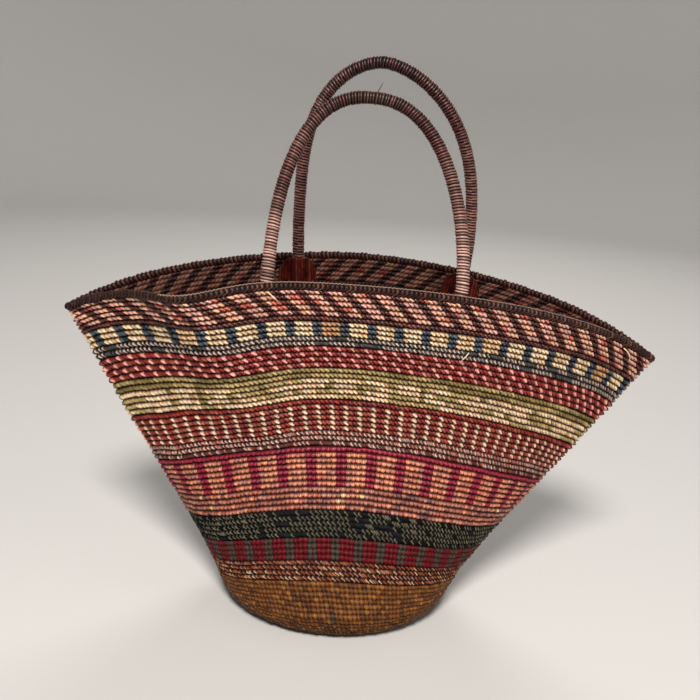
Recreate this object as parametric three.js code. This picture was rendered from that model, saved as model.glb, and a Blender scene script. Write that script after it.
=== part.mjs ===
// Raffia shoulder bag, in millimetres, +Z up, with its front along -Y.
// The origin is the middle of the base's underside. A round crocheted base curls up into a wall
// worked in rounds, one ring of raffia for each colour band, and opens into a long lens-shaped
// mouth with pinched tips. Two rope handles bound in raffia stand on the mouth. Their ends run
// down inside the wall, under four crocheted patches.

import * as THREE from 'three';
import { ParametricGeometry } from 'three/addons/geometries/ParametricGeometry.js';
import { mergeVertices } from 'three/addons/utils/BufferGeometryUtils.js';

// Base and foot of the wall
const wallThickness = 4.4;
const baseHalfLength = 75;
const baseHalfDepth = 62;
const footHalfLength = 102;
const footHalfDepth = 84;
const footHeight = 22;
const curlReach = 0.93;

// Mouth: a lens in plan, fuller at the back, with rounded tips that droop
const mouthHalfLength = 248;
const mouthFrontDepth = 57;
const mouthBackDepth = 70;
const mouthFrontFullness = 2.6;
const mouthBackFullness = 1.45;
const mouthEdgeSharpness = 0.88;
const mouthTipRadius = 5;
const mouthShiftX = 10;
const mouthShiftY = 3;
const tipDroop = 9;

// Sag of the wall between base and mouth, and the slanting fold that opens the front left
const frontHollow = 17;
const frontHollowTilt = 3;
const sideBulge = 2;
const foldDepth = 42;
const foldWidth = 46;
const foldX = -135;
const foldSlant = 90;
const foldStart = 0.45;

// Rounds of crochet: how tall a round is in thin, plain and thick raffia, and the bands from the
// base up with how many rounds each has
const thinRound = 4.15;
const plainRound = 4.55;
const thickRound = 5;
const bands = [
  { name: 'band_ochre', rounds: 14, roundHeight: plainRound, colour: 0xaa7332 },
  { name: 'band_tan_pink', rounds: 4, roundHeight: thinRound, colour: 0xbe8c64 },
  { name: 'band_red_grey', rounds: 4, roundHeight: plainRound, colour: 0x963232 },
  { name: 'band_dark_green', rounds: 5, roundHeight: plainRound, colour: 0x2d3c2d },
  { name: 'band_peach_magenta', rounds: 11, roundHeight: thickRound, colour: 0xd28764 },
  { name: 'band_brown_tick', rounds: 9, roundHeight: plainRound, colour: 0x8c4132 },
  { name: 'band_green_cream', rounds: 6, roundHeight: plainRound, colour: 0x9b8c4b },
  { name: 'band_red_dot', rounds: 4, roundHeight: plainRound, colour: 0x822828 },
  { name: 'band_blue_cream', rounds: 5, roundHeight: thinRound, colour: 0xb9af8c },
  { name: 'band_diagonal', rounds: 6, roundHeight: thinRound, colour: 0xa05f50 },
];
const bandGap = 0.5;
const rimRadius = 3.1;

// The rounds run a little high along the front and back and sag at the two ends of the bag.
// The sag grows up to the first height, holds to the second and is gone at the third.
const roundLift = 3.6;
const leftSag = 24;
const rightSag = 13;
const sagHeights = [90, 170, 283];

// Handles: a rope core bound in raffia, and rope ends that stay sewn to the wall.
// Heights are measured along the arch from its feet, and a handle leans towards the other one.
const handleRadius = 5.2;
const bindingThickness = 1.4;
const handleSpan = 150;
const front = { name: 'front', side: -1, centre: 11, lean: 20, spread: 0.85, crown: 0.95, skew: -4 };
const back = { name: 'back', side: 1, centre: 24, lean: 8, spread: 1.17, crown: 0.58, skew: -14 };
const frontHandleHeight = 146;
const backHandleHeight = 165;
const hingeInset = 4.6;
const hingeRise = 6.4;
const inwardPlay = 3;
const runningGap = 0.3;
const ropeEndRadius = 4.9;
const ropeEndLength = 48;

// Crocheted patches over the rope ends
const patchWidth = 38;
const patchLength = 55;
const patchDrop = 2.5;
const patchThickness = 2.4;
const patchHumpHalfWidth = 6.7;
const sewnGap = 0.75;

// Facets
const columns = 60;
const curlFacet = 6;
const wallFacet = 20;
const rimSides = 6;
const ropeSides = 10;
const archSteps = 34;
const ropeEndSteps = 6;
const patchColumns = 12;
const patchRows = 5;

const turn = Math.PI * 2;
const halfWall = wallThickness / 2;
const upwards = new THREE.Vector3(0, 0, 1);
const colours = { ochre: 0xaa7332, rim: 0x3a1e19, binding: 0x9b6e64, rope: 0xb9a587, patch: 0x501e1c };
const bag = new THREE.Group();

// One half of the mouth's outline in plan, from tip to tip, in the order right, back, left, front
class MouthHalf extends THREE.Curve {
  constructor(side, depth, fullness) {
    super();
    this.side = side;
    this.depth = depth;
    this.fullness = fullness;
    this.arcLengthDivisions = 400;
  }

  getPoint(t, target = new THREE.Vector3()) {
    const x = this.side * mouthHalfLength * Math.cos(Math.PI * t);
    const reach = mouthHalfLength - mouthTipRadius;
    const along = Math.min(Math.abs(x) / reach, 1);
    const past = Math.max(Math.abs(x) - reach, 0) / mouthTipRadius;
    const lens = this.depth * (1 - along ** this.fullness) ** mouthEdgeSharpness;
    const tip = mouthTipRadius * Math.sqrt(Math.max(1 - past * past, 0));
    return target.set(x, this.side * Math.hypot(lens, tip), 0);
  }
}

const backMouth = new MouthHalf(1, mouthBackDepth, mouthBackFullness);
const frontMouth = new MouthHalf(-1, mouthFrontDepth, mouthFrontFullness);

// The curl from the flat base up to the foot of the wall, in section
const curl = new THREE.QuadraticBezierCurve(
  new THREE.Vector2(baseHalfLength, 0),
  new THREE.Vector2(footHalfLength * curlReach, 0),
  new THREE.Vector2(footHalfLength, footHeight),
);
const curlLength = curl.getLength();

// Distances up the wall, from the edge of the flat base
const bandTop = bands.reduce((sum, band) => sum + band.rounds * band.roundHeight, 0);
const rimCentre = bandTop + bandGap + rimRadius;
const wallTop = rimCentre + rimRadius;
const slantLength = wallTop - curlLength;

// The middle of the curl, where the base's rounds turn up into the wall
function curlPoint(angle, up, target) {
  const section = curl.getPointAt(THREE.MathUtils.clamp(up / curlLength, 0, 1));
  const depth = THREE.MathUtils.mapLinear(
    section.x, baseHalfLength, footHalfLength, baseHalfDepth, footHalfDepth,
  );
  return target.set(section.x * Math.cos(angle), depth * Math.sin(angle), section.y + halfWall);
}

// The middle of the wall: around runs from 0 at the right tip over the back to 1,
// and up is the distance in millimetres from the edge of the flat base
function wallPoint(around, up, target = new THREE.Vector3()) {
  const share = THREE.MathUtils.euclideanModulo(around, 1);
  const angle = share * turn;
  if (up <= curlLength) return curlPoint(angle, up, target);
  const t = (up - curlLength) / slantLength;
  const inFront = share >= 0.5;
  const mouth = inFront ? frontMouth.getPointAt(share * 2 - 1) : backMouth.getPointAt(share * 2);
  const fromFold = (mouth.x - foldX - foldSlant * (1 - t)) / foldWidth;
  const folding = Math.max((t - foldStart) / (1 - foldStart), 0);
  const fold = inFront ? foldDepth * Math.exp(-(fromFold ** 2)) * folding : 0;
  const hollow = frontHollow * Math.sin(Math.PI * t) + frontHollowTilt * Math.sin(turn * t);
  const facing = Math.max(-Math.sin(angle), 0) ** 2;
  const belly = sideBulge * Math.sin(Math.PI * t);
  const foot = { x: footHalfLength * Math.cos(angle), y: footHalfDepth * Math.sin(angle) };
  const run = { x: mouth.x + mouthShiftX - foot.x, y: mouth.y + mouthShiftY - foot.y };
  const slant = slantLength - tipDroop * Math.cos(angle) ** 2;
  const climb = Math.sqrt(slant ** 2 - run.x ** 2 - (run.y - fold) ** 2);
  return target.set(
    foot.x + run.x * t + belly * Math.cos(angle),
    foot.y + run.y * t - fold + belly * Math.sin(angle) + hollow * facing,
    footHeight + halfWall + climb * t,
  );
}

// The wall's own directions at a point: out of the bag, up the wall, and how fast it runs around
function wallFrame(around, up) {
  const step = 0.5;
  const turnStep = 0.0005;
  const low = wallPoint(around, Math.max(up - step, 0));
  const high = wallPoint(around, Math.min(up + step, wallTop));
  const rise = high.sub(low).normalize();
  const along = wallPoint(around + turnStep, up).sub(wallPoint(around - turnStep, up));
  const rate = along.length() / (2 * turnStep);
  const out = along.normalize().clone().cross(rise).normalize();
  return { point: wallPoint(around, up), out, rise, rate };
}

// How far up the wall a round really runs, from the distance it would have with no sag
function sagged(around, up) {
  const [grown, held, gone] = sagHeights;
  const quarter = Math.PI / 2;
  const growing = Math.sin(quarter * Math.min(up / grown, 1));
  const fading = Math.cos(quarter * THREE.MathUtils.clamp((up - held) / (gone - held), 0, 1));
  const towardsEnd = Math.cos(around * turn);
  const sag = towardsEnd < 0 ? leftSag : rightSag;
  return up + (roundLift - (roundLift + sag) * towardsEnd ** 2) * growing * fading;
}

// A closed ring around the bag, from its section: each corner's distance up the wall, its distance
// out from the middle, and the level whose outward direction it takes
function ringGeometry(section) {
  const place = (u, v, target) => {
    const around = (Math.round(u * columns) % columns) / columns;
    const corner = section[Math.round(v * section.length) % section.length];
    wallPoint(around, sagged(around, corner.up), target);
    target.addScaledVector(wallFrame(around, sagged(around, corner.level)).out, corner.out);
  };
  return solidGeometry(new ParametricGeometry(place, columns, section.length));
}

// A band of rounds: up its outer face, over its top edge and down its inner face
function bandSection(low, high) {
  const facet = low < curlLength ? curlFacet : wallFacet;
  const steps = Math.ceil((high - low) / facet);
  const levels = Array.from({ length: steps + 1 }, (_, i) => low + ((high - low) * i) / steps);
  const face = (out) => levels.map((level) => {
    const up = THREE.MathUtils.clamp(level, low + bandGap / 2, high - bandGap / 2);
    return { up, level, out };
  });
  return [...face(halfWall), ...face(-halfWall).reverse()];
}

// The rim is one thick round, worked over the top edge
function rimSection() {
  return Array.from({ length: rimSides }, (_, i) => {
    const angle = ((i + 0.5) / rimSides) * turn;
    const up = rimCentre + rimRadius * Math.sin(angle);
    return { up, level: rimCentre, out: rimRadius * Math.cos(angle) };
  });
}

// Share the corner points, drop triangles with no area and make every face point outwards
function solidGeometry(geometry) {
  geometry.deleteAttribute('normal');
  geometry.deleteAttribute('uv');
  const merged = mergeVertices(geometry, 1e-4);
  const corner = (i) => new THREE.Vector3().fromBufferAttribute(merged.attributes.position, i);
  const faces = [];
  let volume = 0;
  for (let i = 0; i < merged.index.count; i += 3) {
    const [a, b, c] = [0, 1, 2].map((k) => merged.index.getX(i + k));
    if (a === b || b === c || c === a) continue;
    volume += corner(a).dot(corner(b).cross(corner(c)));
    faces.push([a, b, c]);
  }
  merged.setIndex(faces.flatMap(([a, b, c]) => (volume < 0 ? [b, a, c] : [a, b, c])));
  merged.computeVertexNormals();
  return merged;
}

function addPiece(name, geometry, color, roughness = 0.85) {
  const material = new THREE.MeshStandardMaterial({ color, roughness, metalness: 0 });
  const mesh = new THREE.Mesh(geometry, material);
  mesh.name = name;
  bag.add(mesh);
}

// The flat middle of the base, where the spiral of rounds begins
function baseGeometry() {
  const profile = [[0, 0], [1, 0], [1, wallThickness], [0, wallThickness]];
  const disc = new THREE.LatheGeometry(profile.map(([x, y]) => new THREE.Vector2(x, y)), columns);
  disc.rotateX(Math.PI / 2);
  disc.scale(baseHalfLength - bandGap / 2, baseHalfDepth - bandGap / 2, 1);
  return solidGeometry(disc);
}

function addWall() {
  addPiece('base_disc', baseGeometry(), colours.ochre);
  let low = 0;
  for (const band of bands) {
    const high = low + band.rounds * band.roundHeight;
    addPiece(band.name, ringGeometry(bandSection(low, high)), band.colour);
    low = high;
  }
  addPiece('rim_edge', ringGeometry(rimSection()), colours.rim);
}

// How far around the mouth, on one side of the bag, the rim reaches a given x
function aroundAt(x, side) {
  let [right, left] = side > 0 ? [0, 0.5] : [1, 0.5];
  for (let i = 0; i < 40; i += 1) {
    const middle = (right + left) / 2;
    if (wallPoint(middle, rimCentre).x > x) right = middle;
    else left = middle;
  }
  return (right + left) / 2;
}

// Where a handle's foot meets the rim, and the line that it folds over there
function handleFoot(handle, x) {
  const around = aroundAt(x, handle.side);
  const rim = wallFrame(around, rimCentre);
  const inward = rim.out.clone().setZ(0).normalize().negate();
  const hinge = rim.point.clone().addScaledVector(inward, hingeInset);
  return { around, hinge: hinge.addScaledVector(upwards, hingeRise) };
}

// A handle's feet, its hinge line and the directions in its plane
function handleLayout(handle) {
  const left = handleFoot(handle, handle.centre - handleSpan / 2);
  const right = handleFoot(handle, handle.centre + handleSpan / 2);
  const axis = right.hinge.clone().sub(left.hinge).normalize();
  const upright = upwards.clone().addScaledVector(axis, -axis.z).normalize();
  const inward = upright.clone().cross(axis).multiplyScalar(-handle.side);
  return { feet: [left, right], axis, upright, inward };
}

// The middle of the rope beside the hinge line, when the rope leans inwards by an angle
function ropeBeside(layout, foot, lean) {
  const angle = THREE.MathUtils.degToRad(lean);
  const up = layout.upright.clone().multiplyScalar(Math.cos(angle));
  up.addScaledVector(layout.inward, Math.sin(angle));
  const across = layout.inward.clone().multiplyScalar(Math.cos(angle));
  across.addScaledVector(layout.upright, -Math.sin(angle));
  const point = foot.hinge.clone().addScaledVector(across, handleRadius + runningGap);
  return { point, up };
}

// The rope's middle line from one foot over the crown to the other
class Arch extends THREE.Curve {
  constructor(handle, layout, height) {
    super();
    this.height = height;
    const [left, right] = layout.feet.map((foot) => ropeBeside(layout, foot, handle.lean));
    this.handle = handle;
    this.up = left.up;
    this.middle = left.point.clone().lerp(right.point, 0.5).addScaledVector(left.up, runningGap / 2);
    this.half = right.point.clone().sub(left.point).multiplyScalar(0.5);
    this.arcLengthDivisions = 1000;
  }

  getPoint(t, target = new THREE.Vector3()) {
    const cosine = -Math.cos(Math.PI * t);
    const across = Math.sign(cosine) * Math.abs(cosine) ** this.handle.spread;
    const climb = Math.max(Math.sin(Math.PI * t), 0) ** this.handle.crown;
    target.copy(this.middle).addScaledVector(this.half, across);
    target.addScaledVector(this.up, climb * this.height);
    target.x += this.handle.skew * climb ** 2;
    return target;
  }
}

function polygonPath(path, radius) {
  for (let i = 0; i < ropeSides; i += 1) {
    const angle = (i / ropeSides) * turn;
    const corner = [radius * Math.cos(angle), radius * Math.sin(angle)];
    if (i === 0) path.moveTo(...corner);
    else path.lineTo(...corner);
  }
  path.closePath();
  return path;
}

// A rod along a path, or a sleeve where it has a bore
function rodGeometry(extrudePath, radius, steps, bore = 0) {
  const section = polygonPath(new THREE.Shape(), radius);
  if (bore > 0) section.holes.push(polygonPath(new THREE.Path(), bore));
  return solidGeometry(
    new THREE.ExtrudeGeometry(section, { extrudePath, steps, bevelEnabled: false }),
  );
}

// The fixed end of the rope: up inside the wall, past the rim, to a face below the hinge line
function ropeEndPath(handle, layout, foot) {
  const inset = rimRadius + runningGap + ropeEndRadius;
  const beside = (up) => {
    const frame = wallFrame(foot.around, up);
    return frame.point.addScaledVector(frame.out, -inset);
  };
  const end = ropeBeside(layout, foot, handle.lean + inwardPlay);
  const top = end.point.clone().addScaledVector(end.up, -runningGap / 2);
  const neck = top.clone().addScaledVector(end.up, -ropeEndRadius / 2);
  const low = rimCentre - ropeEndLength;
  const bend = rimCentre - ropeEndRadius;
  const points = [beside(low), beside((low + bend) / 2), beside(bend), neck, top];
  return new THREE.CatmullRomCurve3(points);
}

// A point off the middle of the wall, on its flat facet between two columns
function facetPoint(around, up, out) {
  const column = Math.floor(around * columns);
  const [before, after] = [column, column + 1].map((i) => {
    const frame = wallFrame(i / columns, up);
    return frame.point.addScaledVector(frame.out, out);
  });
  return before.lerp(after, around * columns - column);
}

// A crocheted patch: a shell on the inside of the wall, humped over the rope end,
// thinning to nothing at its two sewn sides
function patchGeometry(foot) {
  const hump = rimRadius + runningGap + ropeEndRadius * 2 - halfWall;
  const loop = 2 * (patchRows + 1);
  const place = (u, v, target) => {
    const row = Math.round(v * loop) % loop;
    const outerFace = row <= patchRows;
    const rise = (outerFace ? row : loop - 1 - row) / patchRows;
    const up = bandTop - patchDrop - patchLength * (1 - rise);
    const side = Math.round(u * patchColumns) / patchColumns - 0.5;
    const across = side * patchWidth;
    const around = foot.around + across / wallFrame(foot.around, up).rate;
    const over = hump / (1 + (across / patchHumpHalfWidth) ** 6);
    const thickness = outerFace ? patchThickness * Math.sqrt(1 - (side * 2) ** 6) : 0;
    target.copy(facetPoint(around, up, -(halfWall + sewnGap + over + thickness)));
  };
  return solidGeometry(new ParametricGeometry(place, patchColumns, loop));
}

function addHandle(handle, height) {
  const layout = handleLayout(handle);
  const arch = new Arch(handle, layout, height);
  const bore = handleRadius - bindingThickness;
  const core = rodGeometry(arch, bore - runningGap, archSteps);
  const binding = rodGeometry(arch, handleRadius, archSteps, bore);
  addPiece(`${handle.name}_handle_core`, core, colours.rope);
  addPiece(`${handle.name}_handle_binding`, binding, colours.binding, 0.75);
  for (const [index, foot] of layout.feet.entries()) {
    const place = `${handle.name}_${['left', 'right'][index]}`;
    const ropeEnd = rodGeometry(ropeEndPath(handle, layout, foot), ropeEndRadius, ropeEndSteps);
    addPiece(`${place}_rope_end`, ropeEnd, colours.rope);
    addPiece(`${place}_patch`, patchGeometry(foot), colours.patch);
  }
  const line = layout.feet.map((foot) => foot.hinge.toArray().map((value) => value.toFixed(3)));
  console.log(`${handle.name} handle folds about the line`, line.join(' to '));
}

addWall();
addHandle(front, frontHandleHeight);
addHandle(back, backHandleHeight);

export default bag;
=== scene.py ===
# %% [markdown]
# A raffia shoulder bag, crocheted in rounds.
# A flat oval base curls up into a tall, soft wall of ten coloured bands, which opens into a long
# mouth with pinched tips. Two rope handles, bound in raffia, stand on the mouth.
# This file gives each piece its look, around a model that already fixes sizes and joints.
# All lengths are in metres. The front of the bag faces -Y, and the origin is under its base.

# %% Open the frame
import math

import bmesh
import bpy
import numpy as np
from mathutils import Matrix, Vector


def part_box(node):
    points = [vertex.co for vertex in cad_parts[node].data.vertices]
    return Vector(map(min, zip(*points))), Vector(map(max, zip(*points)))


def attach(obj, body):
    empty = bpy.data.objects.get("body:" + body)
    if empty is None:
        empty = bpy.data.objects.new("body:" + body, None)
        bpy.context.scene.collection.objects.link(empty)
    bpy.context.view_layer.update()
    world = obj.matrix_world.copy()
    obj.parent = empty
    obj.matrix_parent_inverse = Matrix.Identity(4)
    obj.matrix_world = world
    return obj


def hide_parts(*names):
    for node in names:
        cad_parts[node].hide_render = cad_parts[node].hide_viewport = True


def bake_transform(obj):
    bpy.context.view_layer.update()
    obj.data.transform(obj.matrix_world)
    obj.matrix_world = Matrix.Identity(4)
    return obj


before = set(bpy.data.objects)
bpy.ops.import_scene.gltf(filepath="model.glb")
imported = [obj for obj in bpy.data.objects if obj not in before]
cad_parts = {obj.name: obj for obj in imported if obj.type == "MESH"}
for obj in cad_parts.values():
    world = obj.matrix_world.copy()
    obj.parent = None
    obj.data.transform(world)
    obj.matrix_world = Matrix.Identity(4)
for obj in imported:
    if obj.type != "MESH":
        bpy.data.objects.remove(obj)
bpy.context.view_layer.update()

# %% [markdown]
# The camera comes first, because every later choice is checked through it. In the photograph the
# bag leans back and is rolled a few degrees. The model stands upright, so the camera takes over
# the lean and the roll.

# %% Camera
camera_place = Vector((-0.0029, -0.7270, 0.4501))
camera_forward = Vector((0.0056, 0.9572, -0.2894)).normalized()
camera_up_hint = Vector((-0.0641, 0.2891, 0.9551))
camera_lens = 46.31
sensor_width = 36.0
right = camera_forward.cross(camera_up_hint).normalized()
turn = Matrix((right, right.cross(camera_forward), -camera_forward)).transposed().to_4x4()
turn.translation = camera_place
camera = bpy.data.objects.new("camera", bpy.data.cameras.new("camera"))
camera.data.lens = camera_lens
camera.data.sensor_width = sensor_width
camera.data.clip_start = 0.02
camera.matrix_world = turn
bpy.context.scene.collection.objects.link(camera)
bpy.context.scene.camera = camera
bpy.context.scene.view_settings.view_transform = "Standard"
print("Camera stands", round(camera_place.length, 3), "m from the foot of the bag")

# %% [markdown]
# The set is a plain floor that sweeps up into a round backdrop, as a cove in a studio does.
# One spin of a curved profile makes it, so it closes behind the bag from every side.

# %% Floor and backdrop
cove_flat = 2.3
cove_bend = 0.8
cove_height = 1.6
cove_steps = 10
cove_sides = 72
cove_colour = (0.5, 0.49, 0.475)


def finished(name, bm, mesh, material):
    """Ends work on a mesh and puts it in the scene, with smooth faces and its material."""
    bmesh.ops.recalc_face_normals(bm, faces=bm.faces)
    bm.to_mesh(mesh)
    bm.free()
    mesh.polygons.foreach_set("use_smooth", [True] * len(mesh.polygons))
    mesh.materials.append(material)
    made = bpy.data.objects.new(name, mesh)
    bpy.context.scene.collection.objects.link(made)
    return made


def plain_material(name, colour, roughness):
    material = bpy.data.materials.new(name)
    material.use_nodes = True
    shader = material.node_tree.nodes["Principled BSDF"]
    shader.inputs["Base Color"].default_value = (*colour, 1)
    shader.inputs["Roughness"].default_value = roughness
    return material


def make_cove():
    bm = bmesh.new()
    profile = [(0, 0)]
    for step in range(cove_steps + 1):
        angle = step / cove_steps * math.pi / 2
        profile.append((cove_flat + cove_bend * math.sin(angle), cove_bend * (1 - math.cos(angle))))
    profile.append((cove_flat + cove_bend, cove_height))
    corners = [bm.verts.new((x, 0, z)) for x, z in profile]
    edges = [bm.edges.new(pair) for pair in zip(corners, corners[1:])]
    bmesh.ops.spin(bm, geom=corners + edges, cent=(0, 0, 0), axis=(0, 0, 1),
                   angle=math.tau, steps=cove_sides, use_merge=True)
    bmesh.ops.remove_doubles(bm, verts=bm.verts, dist=1e-5)
    paint = plain_material("cove_paint", cove_colour, 0.9)
    return finished("cove", bm, bpy.data.meshes.new("cove"), paint)


cove = make_cove()

# %% [markdown]
# Light is plain and soft: a strong lamp high up in front, a weaker one behind, a faint one on the
# right, and an even pale sky. Colours come out about as bright as they are written.

# %% Lamps
lamp_colour = (1.0, 0.965, 0.92)
sky_colour = (0.97, 0.98, 1, 1)
sky_strength = 0.18
bag_middle = (0, 0, 0.22)


def add_lamp(name, place, target, size, power):
    lamp = bpy.data.lights.new(name, "AREA")
    lamp.shape = "DISK"
    lamp.size = size
    lamp.energy = power
    lamp.color = lamp_colour
    made = bpy.data.objects.new(name, lamp)
    made.location = place
    made.rotation_mode = "QUATERNION"
    made.rotation_quaternion = (Vector(target) - Vector(place)).to_track_quat("-Z", "Y")
    bpy.context.scene.collection.objects.link(made)


add_lamp("key_lamp", (-0.05, -1.6, 2.0), bag_middle, 0.6, 92)
add_lamp("side_lamp", (1.7, -0.7, 1.3), bag_middle, 1.2, 4)
add_lamp("back_lamp", (0.3, 1.6, 1.8), bag_middle, 1.2, 23)
world = bpy.data.worlds.new("sky")
world.use_nodes = True
sky = world.node_tree.nodes["Background"].inputs
sky["Color"].default_value = sky_colour
sky["Strength"].default_value = sky_strength
bpy.context.scene.world = world

# %% [markdown]
# The wall is one soft surface, so every band is draped over the same formula. It rises from a curl
# at the foot to the lens of the mouth and sags on the way: hollow in front, full at the sides, with
# a slanting fold at the front left. The rounds hang lower at the two ends of the bag.

# %% Sizes of the wall
wall_thickness = 0.0044
half_wall = wall_thickness / 2
base_half_length = 0.075
base_half_depth = 0.062
foot_half_length = 0.102
foot_half_depth = 0.084
foot_height = 0.022
curl_reach = 0.93
mouth_half_length = 0.248
mouth_front = {"side": -1, "depth": 0.057, "fullness": 2.6}
mouth_back = {"side": 1, "depth": 0.070, "fullness": 1.45}
mouth_edge_sharpness = 0.88
mouth_tip_radius = 0.005
mouth_shift = (0.010, 0.003)
tip_droop = 0.009
front_hollow = 0.017
front_hollow_tilt = 0.003
side_bulge = 0.002
fold_depth = 0.042
fold_width = 0.046
fold_x = -0.135
fold_slant = 0.090
fold_start = 0.45
thin_round = 0.00415
plain_round = 0.00455
close_round = 0.00398125
thick_round = 0.005
band_gap = 0.0005
rim_radius = 0.0031
round_lift = 0.0036
left_sag = 0.024
right_sag = 0.013
sag_heights = (0.090, 0.170, 0.283)
wide_stitch_gain = 0.04
wide_stitch_start = 0.555
wide_stitch_reach = 0.05

# The bands from the base up: name, rounds, height of a round, stitches in a round
bands = [
    ("ochre", 16, close_round, 172),
    ("tan_pink", 4, thin_round, 168),
    ("red_grey", 4, plain_round, 185),
    ("dark_green", 5, plain_round, 186),
    ("peach_magenta", 11, thick_round, 198),
    ("brown_tick", 9, plain_round, 234),
    ("green_cream", 6, plain_round, 246),
    ("red_dot", 4, plain_round, 258),
    ("blue_cream", 5, thin_round, 270),
    ("diagonal", 6, thin_round, 270),
]
band_top = sum(rounds * height for _, rounds, height, _ in bands)
rim_centre = band_top + band_gap + rim_radius
wall_top = rim_centre + rim_radius


# %% Lines with even spacing along them
def even_share(points):
    """How far along a line each of its points lies, from 0 to 1, and the line's length."""
    steps = np.linalg.norm(np.diff(points, axis=0), axis=1)
    gone = np.concatenate(([0], np.cumsum(steps)))
    return gone / gone[-1], gone[-1]


def mouth_line(half, t):
    x = half["side"] * mouth_half_length * np.cos(np.pi * t)
    reach = mouth_half_length - mouth_tip_radius
    along = np.minimum(np.abs(x) / reach, 1)
    past = np.maximum(np.abs(x) - reach, 0) / mouth_tip_radius
    lens = half["depth"] * (1 - along ** half["fullness"]) ** mouth_edge_sharpness
    tip = mouth_tip_radius * np.sqrt(np.maximum(1 - past**2, 0))
    return np.stack((x, half["side"] * np.hypot(lens, tip)), axis=-1)


def curl_line(t):
    """The curl's section: a bend with its control point below the foot of the wall."""
    reach = foot_half_length * curl_reach
    x = (1 - t) ** 2 * base_half_length + 2 * t * (1 - t) * reach + t**2 * foot_half_length
    return np.stack((x, t**2 * foot_height), axis=-1)


line_steps = np.linspace(0, 1, 401)


def evenly(line, share):
    return line(np.interp(share, even_share(line(line_steps))[0], line_steps))


curl_length = even_share(curl_line(line_steps))[1]
slant_length = wall_top - curl_length
print("Curl is", round(curl_length, 4), "m along the wall and the wall above it", round(slant_length, 4))


# %% The wall's middle surface
def wall_point(around, up):
    """around is 0 at the right tip, 0.5 at the left tip; up is metres from the flat base's edge."""
    around, up = np.broadcast_arrays(np.asarray(around, float), np.asarray(up, float))
    share = around % 1
    angle = share * math.tau
    section = evenly(curl_line, np.clip(up / curl_length, 0, 1))
    part = (section[..., 0] - base_half_length) / (foot_half_length - base_half_length)
    depth = base_half_depth + part * (foot_half_depth - base_half_depth)
    curled = np.stack((section[..., 0] * np.cos(angle), depth * np.sin(angle),
                       section[..., 1] + half_wall), axis=-1)

    t = np.clip((up - curl_length) / slant_length, 0, None)
    in_front = (share >= 0.5)[..., None]
    ahead = evenly(lambda t: mouth_line(mouth_front, t), np.clip(share * 2 - 1, 0, 1))
    behind = evenly(lambda t: mouth_line(mouth_back, t), np.clip(share * 2, 0, 1))
    mouth = np.where(in_front, ahead, behind)
    from_fold = (mouth[..., 0] - fold_x - fold_slant * (1 - t)) / fold_width
    folding = np.maximum((t - fold_start) / (1 - fold_start), 0)
    fold = in_front[..., 0] * fold_depth * np.exp(-(from_fold**2)) * folding
    hollow = front_hollow * np.sin(math.pi * t) + front_hollow_tilt * np.sin(math.tau * t)
    facing = np.maximum(-np.sin(angle), 0) ** 2
    belly = side_bulge * np.sin(math.pi * t)
    foot_x = foot_half_length * np.cos(angle)
    foot_y = foot_half_depth * np.sin(angle)
    run_x = mouth[..., 0] + mouth_shift[0] - foot_x
    run_y = mouth[..., 1] + mouth_shift[1] - foot_y
    slant = slant_length - tip_droop * np.cos(angle) ** 2
    climb = np.sqrt(slant**2 - run_x**2 - (run_y - fold) ** 2)
    risen = np.stack((
        foot_x + run_x * t + belly * np.cos(angle),
        foot_y + run_y * t - fold + belly * np.sin(angle) + hollow * facing,
        foot_height + half_wall + climb * t,
    ), axis=-1)
    return np.where((up <= curl_length)[..., None], curled, risen)


def unit(vectors):
    return vectors / np.linalg.norm(vectors, axis=-1, keepdims=True)


def wall_frame(around, up):
    """The middle of the wall, with the directions out of the bag and up the wall."""
    step = 0.0005
    rise = unit(wall_point(around, np.minimum(up + step, wall_top))
                - wall_point(around, np.maximum(up - step, 0)))
    along = wall_point(around + step, up) - wall_point(around - step, up)
    return wall_point(around, up), unit(np.cross(along, rise)), rise


def sagged(around, up):
    """The rounds sag at the two ends of the bag, more at the left one, and not at its mouth."""
    grown, held, gone = sag_heights
    growing = np.sin(math.pi / 2 * np.minimum(up / grown, 1))
    fading = np.cos(math.pi / 2 * np.clip((up - held) / (gone - held), 0, 1))
    towards_end = np.cos(around * math.tau)
    sag = np.where(towards_end < 0, left_sag, right_sag)
    return up + (round_lift - (round_lift + sag) * towards_end**2) * growing * fading


def stitched(share):
    """Where a stitch lies around the bag, from its share of the round: wider ones by the fold."""
    step = (np.tanh((share - wide_stitch_start) / wide_stitch_reach) + 1) / 2
    return share + wide_stitch_gain * step - wide_stitch_gain * share


top_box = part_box("band_diagonal")
print("Top band in the sized model ends at", round(top_box[1].z, 4),
      "and the formula at", round(float(wall_point(0.25, band_top)[2]), 4))

# %% [markdown]
# Raffia is a flat, fibrous leaf. Each stitch shows a few glossy strands, parted by thin dark slits
# of painted shade, and the gaps between stitches go almost black, from the real grooves and from
# painted shade. All the bands share this, so it is one node group. Its places on a piece are
# counted in stitches and rounds, and its gloss leaves the gaps dull.

# %% Fibres of raffia as a node group
group_inputs = ("Yarn", "Place", "Depth", "Strands", "Contrast", "Sheen")
group_outputs = ("Colour", "Roughness", "Height", "Gloss")
socket_kinds = {"Yarn": "Color", "Place": "Vector", "Colour": "Color"}
streak_stretch = (9.0, 1.3, 1.0)
streak_range = (0.3, 0.7)
strand_wave = 0.5
slit_light = 0.38
roughness_range = (0.42, 0.68)


def fill(tree, node, inputs):
    """Gives each named or numbered input of a node its value, or a link if that is a socket."""
    for name, value in inputs.items():
        if isinstance(value, bpy.types.NodeSocket):
            tree.links.new(value, node.inputs[name])
        else:
            node.inputs[name].default_value = value


def add_node(tree, kind, inputs, **settings):
    node = tree.nodes.new("ShaderNode" + kind)
    for name, value in settings.items():
        setattr(node, name, value)
    fill(tree, node, inputs)
    return node.outputs


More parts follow.
